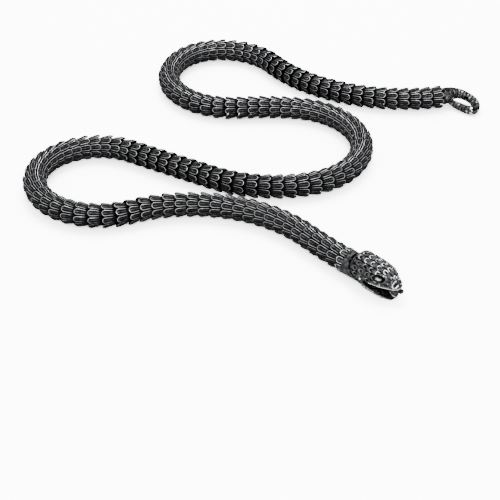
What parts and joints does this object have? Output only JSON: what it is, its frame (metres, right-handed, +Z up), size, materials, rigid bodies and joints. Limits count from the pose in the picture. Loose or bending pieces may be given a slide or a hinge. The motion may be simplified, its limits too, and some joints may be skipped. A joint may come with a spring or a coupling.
{
  "type": "snake necklace",
  "caption": "Snake-shaped necklace of interlocking scaled ball-joint links, with a hinged snake's head that bites on the ring of the tail, lying in loose bends.",
  "frame": {"origin": "on the floor, below the middle of the box round the whole necklace as it lies", "axes": "+Z up, +Y away from the viewer of the picture, +X to the viewer's right"},
  "size_m": [0.1729, 0.1745, 0.0116],
  "materials": {
    "head_steel": "antiqued black with worn bright edges",
    "scale_steel": "antiqued black with polished scale rims",
    "tail_steel": "antiqued black",
    "pin_steel": "satin"
  },
  "bodies": {
    "necklace": {"lower_jaw": "head_steel", "hinge_pin": "pin_steel", "chain_front": "scale_steel", "chain_back": "scale_steel", "tail_loop": "tail_steel"},
    "head": {"upper_head": "head_steel"}
  },
  "joints": [
    {"name": "head_hinge", "type": "hinge", "parent": "necklace", "child": "head", "pos_m": [0.03512, -0.07665, 0.005], "axis": [-0.7193, -0.6947, 0], "range_deg": [0, 12], "stiffness_Nm_per_rad": 0.02, "springref_deg": -11.46}
  ]
}
